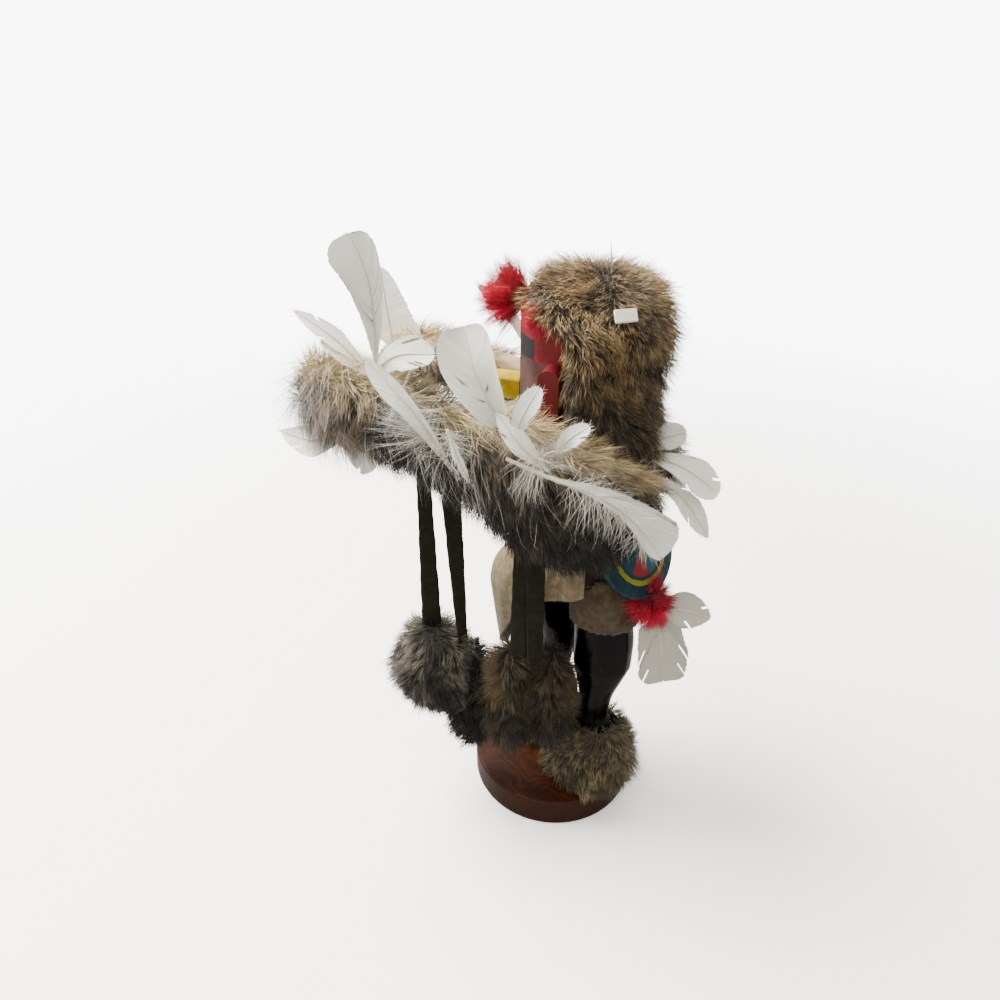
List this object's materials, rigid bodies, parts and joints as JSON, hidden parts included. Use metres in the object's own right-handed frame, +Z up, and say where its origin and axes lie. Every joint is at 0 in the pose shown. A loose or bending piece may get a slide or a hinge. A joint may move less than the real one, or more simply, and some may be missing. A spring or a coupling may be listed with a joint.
{
  "type": "kachina doll",
  "caption": "Carved and painted dancer doll with a fur hood, fur-covered feathered arms, hanging straps with pompoms and a hip shield, standing on a round wooden base.",
  "frame": {"origin": "centre of the base's flat underside", "axes": "+Z up along the figure, -Y the way the doll faces, +X its left side"},
  "size_m": [0.129, 0.2062, 0.3111],
  "materials": {
    "base_wood": "satin stain",
    "body_paint": "glossy black paint on wood",
    "mask_paint": "matte red paint",
    "beak_paint": "matte yellow paint",
    "hood_fur": "soft fur",
    "wing_fur": "soft fur",
    "dark_fur": "soft fur",
    "brown_fur": "soft fur",
    "pale_fur": "soft fur",
    "red_fluff": "soft down",
    "bare_wood": "bare",
    "suede": "napped",
    "kilt_cloth": "matte",
    "strap_suede": "napped",
    "feather": "soft sheen",
    "shield_paint": "satin paint"
  },
  "bodies": {
    "root": {"base": "base_wood", "carved_body": "body_paint", "mask_head": "mask_paint", "beak": "beak_paint", "ear_left": "mask_paint", "ear_right": "mask_paint", "fur_hood": "hood_fur", "brow_fluff": "red_fluff", "hood_tab": "feather", "arm_left": "bare_wood", "wing_fur_left": "wing_fur", "arm_right": "bare_wood", "wing_fur_right": "wing_fur", "torso_fur": "dark_fur", "kilt": "kilt_cloth", "apron": "suede", "knee_band_left": "suede", "knee_band_right": "suede", "foot_fur_left": "pale_fur", "foot_fur_right": "pale_fur", "pompom_1": "wing_fur", "strap_1": "strap_suede", "pompom_2": "dark_fur", "strap_2": "strap_suede", "pompom_3": "brown_fur", "strap_3": "strap_suede", "pompom_4": "brown_fur", "strap_4": "strap_suede", "shield": "shield_paint", "shield_fluff": "red_fluff", "wing_feather_left_1": "feather", "wing_feather_left_2": "feather", "wing_feather_left_3": "feather", "wing_feather_left_4": "feather", "wing_feather_left_5": "feather", "wing_feather_left_6": "feather", "wing_feather_left_7": "feather", "wing_feather_left_8": "feather", "wing_feather_left_9": "feather", "wing_feather_left_10": "feather", "wing_feather_left_11": "feather", "wing_feather_right_1": "feather", "wing_feather_right_2": "feather", "wing_feather_right_3": "feather", "wing_feather_right_4": "feather", "wing_feather_right_5": "feather", "back_feather_1": "feather", "back_feather_2": "feather", "back_feather_3": "feather", "shield_feather_1": "feather", "shield_feather_2": "feather"}
  },
  "joints": []
}
